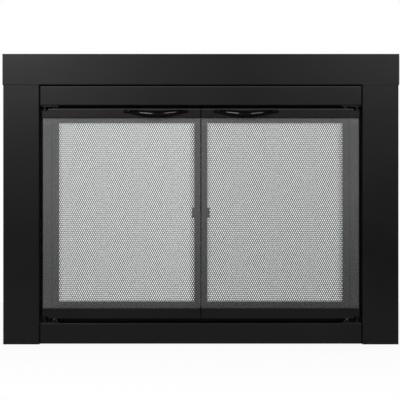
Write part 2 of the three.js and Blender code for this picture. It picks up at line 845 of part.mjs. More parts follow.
const gatePieces = [
  ["gate_top_rail", gateRail(gateTop, gateTop - gateRailHeight), gatePaint],
  ["gate_bottom_rail", gateRail(gateBottom, gateBottom + gateRailHeight), gatePaint],
  ["gate_hinge_stile", gateHingeStile(), gatePaint],
  ["gate_meeting_stile", gateStile(gateInner, windowInner), gatePaint],
  ["gate_mesh", gateMesh(), gatePaint],
  ["gate_pull_tab", gatePullTab(), gatePaint],
  ["gate_hinge_rod", gateHingeRod(), zinc],
];

const unit = new THREE.Group();
add(unit, "header", header(), paint);
add(unit, "lintel_trim", lintelTrim(), paint);
add(unit, "sill_rail", sillRail(), paint);
for (const [side, direction] of [["left", -1], ["right", 1]]) {
  for (const pieces of [sidePieces, doorPieces, gatePieces]) {
    const half = new THREE.Group();
    half.scale.x = direction;
    pieces.forEach(([name, geometry, material]) => add(half, name + "_" + side, geometry, material));
    unit.add(half);
  }
}
// The origin lies on the hearth under the middle of the unit's depth.
unit.position.y = -(handleFront + floorBracketReach) / 2;

export default unit;
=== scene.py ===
import math

import bmesh
import bpy
from mathutils import Matrix, Vector


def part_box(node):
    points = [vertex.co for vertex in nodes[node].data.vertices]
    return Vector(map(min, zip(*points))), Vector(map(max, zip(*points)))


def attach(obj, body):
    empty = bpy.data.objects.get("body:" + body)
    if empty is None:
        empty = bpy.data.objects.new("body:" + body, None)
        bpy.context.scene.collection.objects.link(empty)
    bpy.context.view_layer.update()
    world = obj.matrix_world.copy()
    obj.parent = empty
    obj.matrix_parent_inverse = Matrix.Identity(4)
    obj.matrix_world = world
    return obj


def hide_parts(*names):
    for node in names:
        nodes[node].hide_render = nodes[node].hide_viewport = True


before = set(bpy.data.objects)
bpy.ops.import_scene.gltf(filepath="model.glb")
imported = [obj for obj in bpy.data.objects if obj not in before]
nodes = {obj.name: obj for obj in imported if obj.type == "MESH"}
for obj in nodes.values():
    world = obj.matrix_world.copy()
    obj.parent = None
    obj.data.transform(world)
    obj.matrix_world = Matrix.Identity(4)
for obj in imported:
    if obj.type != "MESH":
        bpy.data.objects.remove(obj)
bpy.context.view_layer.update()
mm = 0.001
hands = {"left": -1, "right": 1}  # which way a side lies along x
print("frame loaded:", len(nodes), "nodes")


class Wire:
    # one output of a node; an expression on it adds Math nodes
    def __init__(self, paint, socket):
        self.paint = paint
        self.socket = socket

    def __add__(self, other):
        return self.paint.math("ADD", self, other)

    def __radd__(self, other):
        return self.paint.math("ADD", other, self)

    def __sub__(self, other):
        return self.paint.math("SUBTRACT", self, other)

    def __rsub__(self, other):
        return self.paint.math("SUBTRACT", other, self)

    def __mul__(self, other):
        return self.paint.math("MULTIPLY", self, other)

    def __rmul__(self, other):
        return self.paint.math("MULTIPLY", other, self)

    def __truediv__(self, other):
        return self.paint.math("DIVIDE", self, other)

    def __rtruediv__(self, other):
        return self.paint.math("DIVIDE", other, self)

    def __abs__(self):
        return self.paint.math("ABSOLUTE", self)


class Paint:
    # the nodes of one material, or of the world
    def __init__(self, owner, ending="OutputMaterial"):
        self.owner = owner
        self.ending = ending
        owner.use_nodes = True
        self.tree = owner.node_tree
        self.tree.nodes.clear()

    def node(self, kind, settings, sockets, out=0):
        # any node: its settings first, then the values or links of its sockets
        made = self.tree.nodes.new("ShaderNode" + kind)
        for key, value in settings.items():
            setattr(made, key, value)
        for key, value in sockets.items():
            if isinstance(value, Wire):
                self.tree.links.new(value.socket, made.inputs[key])
            else:
                made.inputs[key].default_value = value
        if made.outputs:  # the ending has none
            return Wire(self, made.outputs[out])

    def math(self, operation, *values):
        return self.node("Math", {"operation": operation}, dict(enumerate(values)))

    def rise(self, value, low, high):
        # 0 up to low, 1 from high, smooth between
        settings = {"interpolation_type": "SMOOTHSTEP"}
        return self.node("MapRange", settings, {0: value, 1: low, 2: high})

    def place(self, stretch=(1, 1, 1), turn=(0, 0, 0)):
        # the piece's own coordinates, in metres, turned and stretched along each axis
        spot = self.node("TexCoord", {}, {}, "Object")
        return self.node("Mapping", {}, {0: spot, 2: turn, 3: stretch})

    def axes(self, vector, wanted):
        return [self.node("SeparateXYZ", {}, {0: vector}, axis) for axis in wanted]

    def looking(self, axis):
        # how far the surface looks along one of the piece's own axes
        return self.axes(self.node("TexCoord", {}, {}, "Normal"), axis)[0]

    def noise(self, scale, detail=2.0, stretch=(1, 1, 1)):
        return self.node("TexNoise", {}, {0: self.place(stretch), "Scale": scale, "Detail": detail})

    def cells(self, scale, out="Distance"):
        return self.node("TexVoronoi", {}, {0: self.place(), "Scale": scale}, out)

    def mix(self, share, first, second):
        return self.node("Mix", {"data_type": "RGBA"}, {0: share, 6: first, 7: second}, 2)

    def bump(self, height, depth):
        return self.node("Bump", {}, {"Height": height, "Distance": depth, "Strength": 1.0})

    def skin(self, sockets):
        return self.node("BsdfPrincipled", {}, sockets)

    def blend(self, share, first, second):
        return self.node("MixShader", {}, {0: share, 1: first, 2: second})

    def done(self, shader):
        self.node(self.ending, {}, {"Surface": shader})
        return self.owner


def grey(level, warmth=0.0):
    return (level * (1 + warmth), level, level * (1 - warmth), 1)


# Painted steel. Grain and cloud are per metre; draw squeezes the grain along the length of a drawn rail.
coats = {
    "powder_coat": {
        "base": 0.003, "lift": 1.4, "roughness": 0.38, "shine": 0.22,
        "grain": 1300, "depth": 0.035 * mm, "draw": (1, 1, 1), "cloud": 5, "dust": 0.08,
    },
    "rail_coat": {
        "base": 0.003, "lift": 1.4, "roughness": 0.36, "shine": 0.22,
        "grain": 2100, "depth": 0.012 * mm, "draw": (0.015, 1, 1), "cloud": 9, "dust": 0.1,
    },
    "gate_coat": {
        "base": 0.006, "lift": 1.4, "roughness": 0.5, "shine": 0.3,
        "grain": 1700, "depth": 0.012 * mm, "draw": (1, 1, 1), "cloud": 12, "dust": 0.4,
    },
    "mesh_coat": {
        "base": 0.012, "lift": 1.8, "roughness": 0.6, "shine": 0.4,
        "grain": 2600, "depth": 0.02 * mm, "draw": (1, 1, 1), "cloud": 16, "dust": 0.2,
    },
    "handle_coat": {
        "base": 0.001, "lift": 1.3, "roughness": 0.13, "shine": 0.18,
        "grain": 900, "depth": 0.003 * mm, "draw": (1, 1, 1), "cloud": 14, "dust": 0.0,
    },
}
# The same in every coat: a cloudy gloss, lighter flecks, and dust in patches on what faces up.
wear = {
    "warmth": 0.01, "cloudRough": 0.16,
    "fleckCells": 0.25, "fleckEdge": (0.12, 0.05), "fleckShare": 0.3, "fleckLift": 4, "fleckGloss": 0.06,
    "patches": 31, "patchEdge": (0.45, 0.7), "facing": (0.6, 0.98), "dustTone": (0.11, 0.03), "dustRough": 0.3,
}
# Painted highlight: a lighter band just under the folded top edge of the piece named for a coat and of its
# twin, where light from above catches the bend; and painted light in a lighter band on the header's lower fold
# over the columns.
paintedFoldLight = {
    "on": {"powder_coat": "lintel_trim", "rail_coat": "door_top_rail_left"},
    "below": 0.7 * mm, "tall": 2.2 * mm, "highlightTone": 0.04, "soft": 0.4 * mm,
    "jointOn": "powder_coat", "jointTall": 3 * mm, "jointLightTone": 0.03,
}


def topFoldHighlight(paint, low, high):
    # 1 in the painted highlight band, as wide as the piece in this box and its twin, and 0 elsewhere
    x, z = paint.axes(paint.place(), "XZ")
    soft = paintedFoldLight["soft"]
    end = max(abs(low.x), abs(high.x))
    top = high.z - paintedFoldLight["below"]
    bottom = top - paintedFoldLight["tall"]
    beside = paint.rise(abs(x), end, end + soft)
    return paint.rise(z, bottom, bottom + soft) * (1 - paint.rise(z, top - soft, top)) * (1 - beside)


def jointFoldLight(paint):
    # 1 in the painted light band along the header's lower edge, where a column stands under it
    x, z = paint.axes(paint.place(), "XZ")
    soft = paintedFoldLight["soft"]
    bottom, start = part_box("header")[0].z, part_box("column_right")[0].x
    top = bottom + paintedFoldLight["jointTall"]
    over = paint.rise(abs(x), start, start + soft)
    return paint.rise(z, bottom - soft / 2, bottom) * (1 - paint.rise(z, top - soft, top)) * over


def coat(name):
    look = coats[name]
    paint = Paint(bpy.data.materials.new(name))
    grain = paint.noise(look["grain"], detail=2, stretch=look["draw"])
    cloud = paint.noise(look["cloud"], detail=4)
    fleck = paint.rise(paint.cells(look["grain"] * wear["fleckCells"]), *wear["fleckEdge"])
    patches = paint.rise(paint.noise(wear["patches"], detail=5), *wear["patchEdge"])
    dust = paint.rise(paint.looking("Z"), *wear["facing"]) * patches * look["dust"]
    dark, light = look["base"] / look["lift"], look["base"] * look["lift"]
    base = paint.mix(cloud, grey(dark), grey(light, wear["warmth"]))
    base = paint.mix(fleck * wear["fleckShare"], base, grey(look["base"] * wear["fleckLift"]))
    base = paint.mix(dust, base, grey(*wear["dustTone"]))
    # painted highlight along the folded top edge
    if name in paintedFoldLight["on"]:
        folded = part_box(paintedFoldLight["on"][name])
        base = paint.mix(topFoldHighlight(paint, *folded), base, grey(paintedFoldLight["highlightTone"]))
    # painted light on the header's lower fold over the columns
    if name == paintedFoldLight["jointOn"]:
        base = paint.mix(jointFoldLight(paint), base, grey(paintedFoldLight["jointLightTone"]))
    roughness = (cloud - 0.5) * wear["cloudRough"] + look["roughness"]
    roughness = roughness + dust * wear["dustRough"] - fleck * wear["fleckGloss"]
    return paint.done(paint.skin({
        "Base Color": base, "Roughness": roughness, "Normal": paint.bump(grain, look["depth"]),
        "Specular IOR Level": look["shine"],
    }))


# Zinc plate: crystals of two greys, fine scratches and dull stains.
zincLook = {
    "base": 0.52, "tones": (0.82, 1.1), "spangle": 210, "roughness": 0.26, "spangleRough": 0.12,
    "scratch": 900, "draw": (0.05, 1, 0.6), "depth": 0.006 * mm, "scratchRough": 0.1,
    "stain": 23, "stainEdge": (0.5, 0.75), "stainShare": 0.5, "stainTone": (0.3, 0.05), "stainRough": 0.2,
}


def zinc(name):
    look = zincLook
    paint = Paint(bpy.data.materials.new(name))
    crystal = paint.node("SeparateColor", {}, {0: paint.cells(look["spangle"], "Color")}, "Red")
    scratch = paint.noise(look["scratch"], detail=3, stretch=look["draw"])
    stain = paint.rise(paint.noise(look["stain"], detail=5), *look["stainEdge"])
    dark, light = (look["base"] * tone for tone in look["tones"])
    base = paint.mix(crystal, grey(dark), grey(light))
    base = paint.mix(stain * look["stainShare"], base, grey(*look["stainTone"]))
    roughness = crystal * look["spangleRough"] + scratch * look["scratchRough"] + stain * look["stainRough"]
    return paint.done(paint.skin({
        "Base Color": base, "Metallic": 1.0, "Roughness": roughness + look["roughness"],
        "Normal": paint.bump(scratch, look["depth"]),
    }))


# Clear glass with smears, and a faint diffuse film that is partly real smoke and partly a painted reflection
# of the bright room. The film is thicker towards the top and on the left, which is painted light from the
# lamps above and to the left, and thicker towards the unit's outer edges. Heights and places are in metres.
glassLook = {
    "ior": 1.5, "tint": (0.965, 0.988, 0.981, 1), "polish": 0.012,
    "edge": (0.034, 0.043, 0.041, 1), "edgeTurn": (0.6, 0.9), "edgeGrain": 700, "edgeRough": (0.1, 0.3),
    "smears": 13, "smearEdge": (0.5, 0.8), "smearRough": 0.03, "smearFilm": 0.006,
    "hazeAndVeil": 0.85, "smokeAndVeil": (0.045, 0.074), "heights": (0.15, 0.5),
    "upper": 0.026, "upperHeights": (0.61, 0.632), "outer": 0.014, "outerPlaces": (0.38, 0.44),
    "left": 0.013, "leftPlaces": (-0.1, 0.1),
}


def glass(name):
    look = glassLook
    paint = Paint(bpy.data.materials.new(name))
    smear = paint.rise(paint.noise(look["smears"], detail=5), *look["smearEdge"])
    fresnel = paint.node("Fresnel", {}, {"IOR": look["ior"]})
    outside = 1 - paint.node("NewGeometry", {}, {}, "Backfacing")
    mirror = (fresnel * 2) / (fresnel + 1) * outside  # both faces of the sheet at once
    clear = paint.node("BsdfTransparent", {}, {"Color": look["tint"]})
    gloss = paint.skin({
        "Base Color": (1, 1, 1, 1), "Metallic": 1.0, "Roughness": smear * look["smearRough"] + look["polish"],
    })
    x, z = paint.axes(paint.place(), "XZ")
    thin, thick = look["smokeAndVeil"]
    # smoke and painted reflection; its rise with height, and the extra at the top and on the left, are painted
    # light
    smokeAndVeil = paint.rise(z, *look["heights"]) * (thick - thin) + thin + (smear - 0.5) * look["smearFilm"]
    smokeAndVeil = smokeAndVeil + paint.rise(z, *look["upperHeights"]) * look["upper"]
    smokeAndVeil = smokeAndVeil + paint.rise(abs(x), *look["outerPlaces"]) * look["outer"]
    smokeAndVeil = smokeAndVeil + (1 - paint.rise(x, *look["leftPlaces"])) * look["left"]
    hazeAndVeil = paint.node("BsdfDiffuse", {}, {"Color": grey(look["hazeAndVeil"])})
    through = paint.looking("Y")
    ground = 1 - paint.rise(through * through, *look["edgeTurn"])  # chamfers and edges
    fine, coarse = look["edgeRough"]
    edgeRoughness = paint.noise(look["edgeGrain"]) * (coarse - fine) + fine
    edge = paint.skin({"Base Color": look["edge"], "Roughness": edgeRoughness})
    face = paint.blend(smokeAndVeil * outside, paint.blend(mirror, clear, gloss), hazeAndVeil)
    return paint.done(paint.blend(ground, face, edge))


# Woven glass-fibre tape: two sets of slanting plies, and fuzz.
# Its near-black tone, darker than real tape, is painted shade, so that the rope and felt in the gaps read as
# shade.
gasketLook = {
    "base": 0.0012, "tones": (0.5, 1.8), "plies": 98.4127, "slant": 38,
    "waver": 1.5, "waverDetail": 2.0, "waverScale": 4.0,
    "fuzz": 0.004, "fuzzGrain": 3000, "fuzzShare": 0.4, "depth": 0.25 * mm,
    "roughness": 0.9, "plyGloss": 0.1, "shine": 0.03,
}


def gasket(name):
    look = gasketLook
    paint = Paint(bpy.data.materials.new(name))
    plies = [
        paint.node("TexWave", {"bands_direction": "X"}, {
            0: paint.place(turn=(0, math.radians(slant), 0)), "Scale": look["plies"],
            "Distortion": look["waver"], "Detail": look["waverDetail"], "Detail Scale": look["waverScale"],
        })
        for slant in (look["slant"], -look["slant"])
    ]
    weave = plies[0] * plies[1]
    fuzz = paint.noise(look["fuzzGrain"], detail=3) * look["fuzzShare"]
    dark, light = (look["base"] * tone for tone in look["tones"])
    base = paint.mix(weave, grey(dark), grey(light))
    return paint.done(paint.skin({
        "Base Color": paint.mix(fuzz, base, grey(look["fuzz"])),
        "Roughness": look["roughness"] - weave * look["plyGloss"],
        "Normal": paint.bump(weave + fuzz, look["depth"]), "Specular IOR Level": look["shine"],
    }))


plasticLook = {
    "base": 0.003, "tones": (0.7, 1.5), "warmth": 0.03, "cloud": 40, "shine": 0.15,
    "grain": 1500, "depth": 0.02 * mm, "roughness": 0.55, "grainRough": 0.2,
}


def plastic(name):
    look = plasticLook
    paint = Paint(bpy.data.materials.new(name))
    grain = paint.cells(look["grain"])
    cloud = paint.noise(look["cloud"], detail=3)
    dark, light = (grey(look["base"] * tone, look["warmth"]) for tone in look["tones"])
    return paint.done(paint.skin({
        "Base Color": paint.mix(cloud, dark, light),
        "Roughness": grain * look["grainRough"] + look["roughness"],
        "Normal": paint.bump(grain, look["depth"]), "Specular IOR Level": look["shine"],
    }))


materials = {name: coat(name) for name in coats}
for name, make in (("zinc", zinc), ("glass", glass), ("gasket", gasket), ("catch_plastic", plastic)):
    materials[name] = make(name)
print("materials:", len(materials))

# The finish of each CAD node, by how its name starts.
finishes = {
    "header": "powder_coat", "column": "powder_coat", "lintel_trim": "powder_coat",
    "sill_rail": "powder_coat", "jamb": "powder_coat",
    "pivot_bracket": "rail_coat", "door_top_rail": "rail_coat", "door_bottom_rail": "rail_coat",
    "door_glass": "glass", "door_top_gasket": "gasket", "door_bottom_gasket": "gasket",
    "door_handle_screw": "zinc", "door_handle": "handle_coat",
    "door_top_pivot": "rail_coat", "door_bottom_pivot": "rail_coat", "door_strike": "zinc",
    "gate_mesh": "mesh_coat", "gate_hinge_rod": "zinc", "gate": "gate_coat",
    "corner_bracket": "zinc", "lintel_clamp": "zinc", "clamp_bolt": "zinc", "floor_bracket": "zinc",
    "magnet_catch": "catch_plastic",
}
for name, piece in nodes.items():
    start = max((key for key in finishes if name.startswith(key)), key=len)
    piece.data.materials.clear()
    piece.data.materials.append(materials[finishes[start]])
print("nodes painted")


def shell(rings):
    # a closed body from rings of points, with both ends capped
    count = len(rings[0])
    points = [point for ring in rings for point in ring]
    total = len(points)
    faces = []
    for start in range(0, total - count, count):
        for j in range(count):
            a, b = start + j, start + (j + 1) % count
            faces.append((a, b, b + count, a + count))
    faces += [tuple(range(count)), tuple(range(total - count, total))]
    return points, faces


def meshOf(name, shells):
    points, faces = [], []
    for some, sheets in shells:
        faces += [tuple(i + len(points) for i in sheet) for sheet in sheets]
        points += some
    mesh = bpy.data.meshes.new(name)
    mesh.from_pydata(points, [], faces)
    work = bmesh.new()
    work.from_mesh(mesh)
    bmesh.ops.recalc_face_normals(work, faces=work.faces)
    work.to_mesh(mesh)
    work.free()
    return mesh


def placed(name, mesh, body, slotName):
    mesh.materials.append(materials[slotName])
    piece = bpy.data.objects.new(name, mesh)
    bpy.context.scene.collection.objects.link(piece)
    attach(piece, body)
    return piece


def settle(piece):
    # keep what the modifiers make as the piece's own mesh
    shaped = piece.evaluated_get(bpy.context.evaluated_depsgraph_get())
    mesh = bpy.data.meshes.new_from_object(shaped)
    piece.modifiers.clear()
    piece.data = mesh


# Expanded mesh of the gates, in millimetres. A share of each diamond is open, from the lowest row to the
# highest, and less near the window's left, right, bottom and top: how much less, and from how far in. The
# strands lean. Corners nearer than same are one.
meshLook = {
    "columns": 67, "rows": 45, "pitch": (5.85, 11.53), "middleX": 210.9, "middleZ": 370.95,
    "open": {"left": (0.65, 0.71), "right": (0.62, 0.668)},
    "closing": ((0.1, 12), (0.2, 16), (0.06, 9), (0.06, 9)),
    "sheet": 0.9, "lean": 0.55, "same": 0.0001,
}


def expandedMesh(side, hand):
    look = meshLook
    low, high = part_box("gate_mesh_" + side)
    centre = (low + high) / 2
    meeting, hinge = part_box("gate_meeting_stile_" + side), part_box("gate_hinge_stile_" + side)
    first, last = (meeting, hinge) if hand > 0 else (hinge, meeting)
    sill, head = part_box("gate_bottom_rail_" + side)[1].z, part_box("gate_top_rail_" + side)[0].z
    window = (first[1].x, last[0].x, sill, head)
    width, height = (v * mm for v in look["pitch"])
    wide, tall = 2 * look["columns"], 2 * look["rows"]  # the lattice is counted in half diamonds
    left = hand * look["middleX"] * mm - wide * width / 4
    bottom = look["middleZ"] * mm - tall * height / 4
    half, lean = look["sheet"] * mm / 2, look["lean"] * mm
    lowest, highest = look["open"][side]
    perMetre = 1 / (look["same"] * mm)
    points, faces, found = [], [], {}

    def corner(x, y, z):
        key = tuple(round(v * perMetre) for v in (x, y, z))
        if key not in found:
            found[key] = len(points)
            points.append((x, y, z))
        return found[key]

    # an outline's points hold x, z and how far the strand leans there; skin is -1 in front and 1 behind
    def sheetFace(outline, skin):
        made = [corner(x, centre.y + skin * half + tip, z) for x, z, tip in outline]
        faces.append(made if skin < 0 else made[::-1])

    def cutFace(start, end, skin):
        # across the thickness, from this skin to the other
        (xa, za, ta), (xb, zb, tb) = start, end
        faces.append([
            corner(xa, centre.y + skin * half + ta, za), corner(xb, centre.y + skin * half + tb, zb),
            corner(xb, centre.y - skin * half + tb, zb), corner(xa, centre.y - skin * half + ta, za),
        ])

    def knot(i, j):
        return (left + i * width / 2, bottom + j * height / 2, 0)

    def diamond(i, j):
        x, z, _ = knot(i, j)
        outer = [(x + width / 2, z), (x, z + height / 2), (x - width / 2, z), (x, z - height / 2)]
        inside = (x - window[0], window[1] - x, z - window[2], window[3] - z)
        closing = [
            less * min(max(1 - depth / mm / fade, 0), 1)
            for depth, (less, fade) in zip(inside, look["closing"])
        ]
        share = lowest + (highest - lowest) * j / tall - max(closing)
        tips = (0, -lean, 0, lean)
        inner = [(x + (a - x) * share, z + (b - z) * share, tip) for (a, b), tip in zip(outer, tips)]
        for skin in (-1, 1):
            for n in range(4):
                m = (n + 1) % 4
                sheetFace([(*outer[n], 0), (*outer[m], 0), inner[m], inner[n]], skin)
        for n in range(4):
            cutFace(inner[n], inner[(n + 1) % 4], -1)

    for j in range(1, tall):
        for i in range(2 - j % 2, wide, 2):
            diamond(i, j)
    # half diamonds close the lattice to a rectangle, out of sight inside the channels
    plain = []
    for j in range(2, tall, 2):
        plain.append([knot(0, j - 1), knot(1, j), knot(0, j + 1)])
        plain.append([knot(wide, j + 1), knot(wide - 1, j), knot(wide, j - 1)])
    for i in range(2, wide, 2):
        plain.append([knot(i + 1, 0), knot(i, 1), knot(i - 1, 0)])
        plain.append([knot(i - 1, tall), knot(i, tall - 1), knot(i + 1, tall)])
    for i, j, a, b in ((0, 0, 1, 1), (wide, 0, -1, 1), (0, tall, 1, -1), (wide, tall, -1, -1)):
        ends = [knot(i, j), knot(i + a, j), knot(i, j + b)]
        plain.append(ends if a * b > 0 else ends[::-1])
    # a plain border from the lattice to the edge of the sheet
    rim = [(i, 0) for i in [0, *range(1, wide, 2), wide]]
    rim += [(wide, j) for j in [*range(1, tall, 2), tall]]
    rim += [(i, tall) for i in [*range(wide - 1, 0, -2), 0]]
    rim += [(0, j) for j in range(tall - 1, 0, -2)]

    def outwards(i, j):
        x, z, _ = knot(i, j)
        x = low.x if i == 0 else high.x if i == wide else x
        z = low.z if j == 0 else high.z if j == tall else z
        return (x, z, 0)

    for n, (i, j) in enumerate(rim):
        a, b = rim[(n + 1) % len(rim)]
        plain.append([outwards(i, j), outwards(a, b), knot(a, b), knot(i, j)])
        cutFace(outwards(i, j), outwards(a, b), 1)
    for outline in plain:
        for skin in (-1, 1):
            sheetFace(outline, skin)
    mesh = bpy.data.meshes.new("expanded_mesh_" + side)
    mesh.from_pydata(points, [], faces)
    piece = placed("expanded_mesh_" + side, mesh, "mesh_gate_" + side, "mesh_coat")
    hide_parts("gate_mesh_" + side)


for side, hand in hands.items():
    expandedMesh(side, hand)
print("expanded mesh made")

# Bow handles, in millimetres: a lofted bar that arches off two feet and sags a little. The bar's section goes
# outwards and upwards in shares of half its thickness and height: a steep face over a nearly upright one. Each
# ring of a foot is inset by so much at such a depth from the rail. Probe is the share of the length over which
# the bar's direction is taken.
handleLook = {
    "centre": 127.45, "span": 152.7, "height": 655.5, "back": -31.15, "reach": 27, "lift": 0.75,
    "sag": 6.0, "droop": 1.5, "thick": 6, "tall": (8.4, 11.2),
    "section": [(-1, -1), (0.5, -1), (0.98, -0.78), (0.84, -0.12), (-0.33, 1), (-1, 0.8)],
    "foot": 30, "footTall": 9, "footRings": ((0.3, 0), (0, 0.4), (0, 3.5), (0.35, 4.4), (1.2, 5)),
    "stations": 90, "probe": 0.01, "around": 28, "voxel": 0.5, "easing": 0.5, "passes": 3,
}


def handleShells():
    look = handleLook
    footDepth = look["footRings"][-1][1]
    rise = look["reach"] - look["thick"] / 2 - footDepth / 2

    def middle(t):
        bow = max(math.sin(math.pi * t), 0)
        return Vector((
            look["centre"] + look["span"] * (t - 0.5),
            look["back"] - footDepth / 2 - rise * bow ** look["lift"],
            look["height"] - look["sag"] * bow ** look["droop"],
        ))

    rings = []
    for station in range(look["stations"] + 1):
        t = station / look["stations"]
        along = (middle(min(t + look["probe"], 1)) - middle(max(t - look["probe"], 0))).normalized()
        out = Vector((along.y, -along.x, 0)).normalized()
        upward = out.cross(along)
        ends, mid = look["tall"]
        tall = ends + (mid - ends) * math.sin(math.pi * t)
        rings.append([
            (middle(t) + out * (across * look["thick"] / 2) + upward * (up * tall / 2)) * mm
            for across, up in look["section"]
        ])
    shells = [shell(rings)]
    turns = [2 * math.pi * i / look["around"] for i in range(look["around"])]
    radius = look["footTall"] / 2
    straight = look["foot"] / 2 - radius
    for end in (-0.5, 0.5):
        x = look["centre"] + look["span"] * end
        rings = [
            [
                Vector((
                    x + math.copysign(straight, math.cos(turn)) + (radius - inset) * math.cos(turn),
                    look["back"] - depth,
                    look["height"] + (radius - inset) * math.sin(turn),
                )) * mm
                for turn in turns
            ]
            for inset, depth in look["footRings"]
        ]
        shells.append(shell(rings))
    return shells


def bowHandle(side, hand):
    look = handleLook
    mesh = meshOf("bow_handle_" + side, handleShells())
    if hand < 0:
        mesh.transform(Matrix.Scale(-1, 4, (1, 0, 0)))
        mesh.flip_normals()
    piece = placed("bow_handle_" + side, mesh, "glass_door_" + side, "handle_coat")
    cast = piece.modifiers.new("cast", "REMESH")
    cast.mode = "VOXEL"
    cast.voxel_size = look["voxel"] * mm
    ease = piece.modifiers.new("ease", "SMOOTH")
    ease.factor = look["easing"]
    ease.iterations = look["passes"]
    settle(piece)
    piece.data.shade_smooth()
    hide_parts("door_handle_" + side)


for side, hand in hands.items():
    bowHandle(side, hand)
print("handles made")

# Black felt on the edges where the gates meet, in millimetres.
feltLook = {"clear": 0.04, "glue": 0.01, "inset": 1.2, "short": 1.0}


def feltStrip(side, hand):
    look = feltLook
    low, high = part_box("gate_meeting_stile_" + side)
    edge = low.x if hand > 0 else high.x
    across = (hand * look["clear"] * mm, edge - hand * look["glue"] * mm)
    near, far = low.y + look["inset"] * mm, high.y - look["inset"] * mm
    outline = [(across[0], near), (across[1], near), (across[1], far), (across[0], far)]
    levels = (low.z + look["short"] * mm, high.z - look["short"] * mm)
    rings = [[Vector((x, y, z)) for x, y in outline] for z in levels]
    placed("felt_strip_" + side, meshOf("felt_strip_" + side, [shell(rings)]), "mesh_gate_" + side, "gasket")


for side, hand in hands.items():
    feltStrip(side, hand)
print("felt made")

# Black rope in the dark line over the lintel trim, in millimetres: a twisted cord squeezed into its gap,
# partly a seal and partly a dark fill that stands in for the shade in the gap.
ropeLook = {
    "radius": 1.3, "press": 0.3, "deep": 3.4, "strands": 3, "twist": 18.0, "proud": 0.05,
    "around": 14, "step": 2.0,
}


def rope():
    look = ropeLook
    trimLow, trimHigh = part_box("lintel_trim")
    bottom, top = trimHigh.z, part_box("header")[0].z
    radii = ((top - bottom) / 2 + look["press"] * mm, look["radius"] * mm)
    length = trimHigh.x - trimLow.x
    count = round(length / (look["step"] * mm))
    rings = []
    for i in range(count + 1):
        turn = 2 * math.pi * i / count * length / (look["twist"] * mm)
        ring = []
        for n in range(look["around"]):
            angle = 2 * math.pi * n / look["around"]
            swell = 1 - look["proud"] * (1 - math.cos(look["strands"] * angle + turn)) / 2
            ring.append(Vector((
                trimLow.x + length * i / count,
                trimLow.y + look["deep"] * mm + math.sin(angle) * radii[1] * swell,
                (bottom + top) / 2 + math.cos(angle) * radii[0] * swell,
            )))
        rings.append(ring)
    placed("rope_seal_and_shade", meshOf("rope_seal_and_shade", [shell(rings)]), "surround", "gasket")


rope()
print("rope made")

# Black felt pressed into the trims' open ends, from one height to another, and behind the joints under the
# header,
# in millimetres: partly seals and partly dark fills that stand in for the shade in these gaps.
sealAndShadeLook = {
    "heights": {"lintel_trim": (671.8, 729.3), "sill_rail": (1.6, 59.9)},
    "sheet": 1.6, "press": 0.2, "inside": 8, "deep": 6, "jointTall": 5, "jointDeep": 1,
}


def felt(name, outline, near, far):
    # one outline, as x and z, from one depth to another
    rings = [[Vector((x, y, z)) for x, z in outline] for y in (near, far)]
    placed(name, meshOf(name, [shell(rings)]), "surround", "gasket")


def sealsAndShade(side, hand):
    look = sealAndShadeLook
    sheet, press = look["sheet"] * mm, look["press"] * mm
    low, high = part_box("column_" + side)
    inner, outer = sorted((low.x, high.x), key=abs)
    wall = inner + hand * press
    for trim, (bottom, top) in look["heights"].items():
        bottom, top = bottom * mm, top * mm
        trimLow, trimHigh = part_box(trim)
        end = hand * trimHigh.x
        back = end - hand * look["inside"] * mm
        shelf = min(top, trimHigh.z) - sheet + press
        floor = bottom + sheet - press
        outline = [
            (back, floor), (end, floor), (end, bottom), (wall, bottom),
            (wall, top), (end, top), (end, shelf), (back, shelf),
        ]
        near = trimLow.y + sheet - press / 2
        felt(f"felt_plug_{trim}_{side}", outline, near, near + look["deep"] * mm)
    left, right = sorted((inner + hand * (sheet - press), outer - hand * (sheet - press)))
    bottom, top = high.z - look["jointTall"] * mm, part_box("header")[0].z + press / 2
    near = low.y + sheet - press / 2
    outline = [(left, bottom), (right, bottom), (right, top), (left, top)]
    felt("felt_joint_" + side, outline, near, near + look["jointDeep"] * mm)


for side, hand in hands.items():
    sealsAndShade(side, hand)
print("felt seals made")

# Fasteners, in millimetres. Each is turned round its own axis, which points out of the head: radius and height
# of its rings from the seat up, then the radius and height of its socket or hexagon.
fasteners = {
    "button": {"profile": [(3.6, 0), (3.6, 0.6), (3.3, 1.2), (2.6, 1.7), (2.1, 1.85)], "socket": (1.5, 0.7)},
    "hex": {"profile": [(6.4, 0), (6.4, 1.1)], "hex": (4.9, 4.6), "top": (4.2, 5.1)},
    "rivet": {"profile": [(1.9, 0), (1.85, 0.3), (1.5, 0.62), (0.8, 0.85)]},
}
fastenerSides = 24
# Where they sit, in millimetres: outwards from the inner end of what carries them, or apart from its middle.
fixings = {
    "pivotScrews": {"out": (9, 25), "deep": 19.35},
    "cornerScrews": {"out": (14, 30), "plate": 2},
    "floorBolts": {"apart": 10, "high": 85, "plate": 2.5},
    "clampScrews": {"apart": 10, "deep": 8.85, "plate": 3},
    "tabRivets": {"out": 6.5, "apart": 7.5, "plate": 1.5},
}


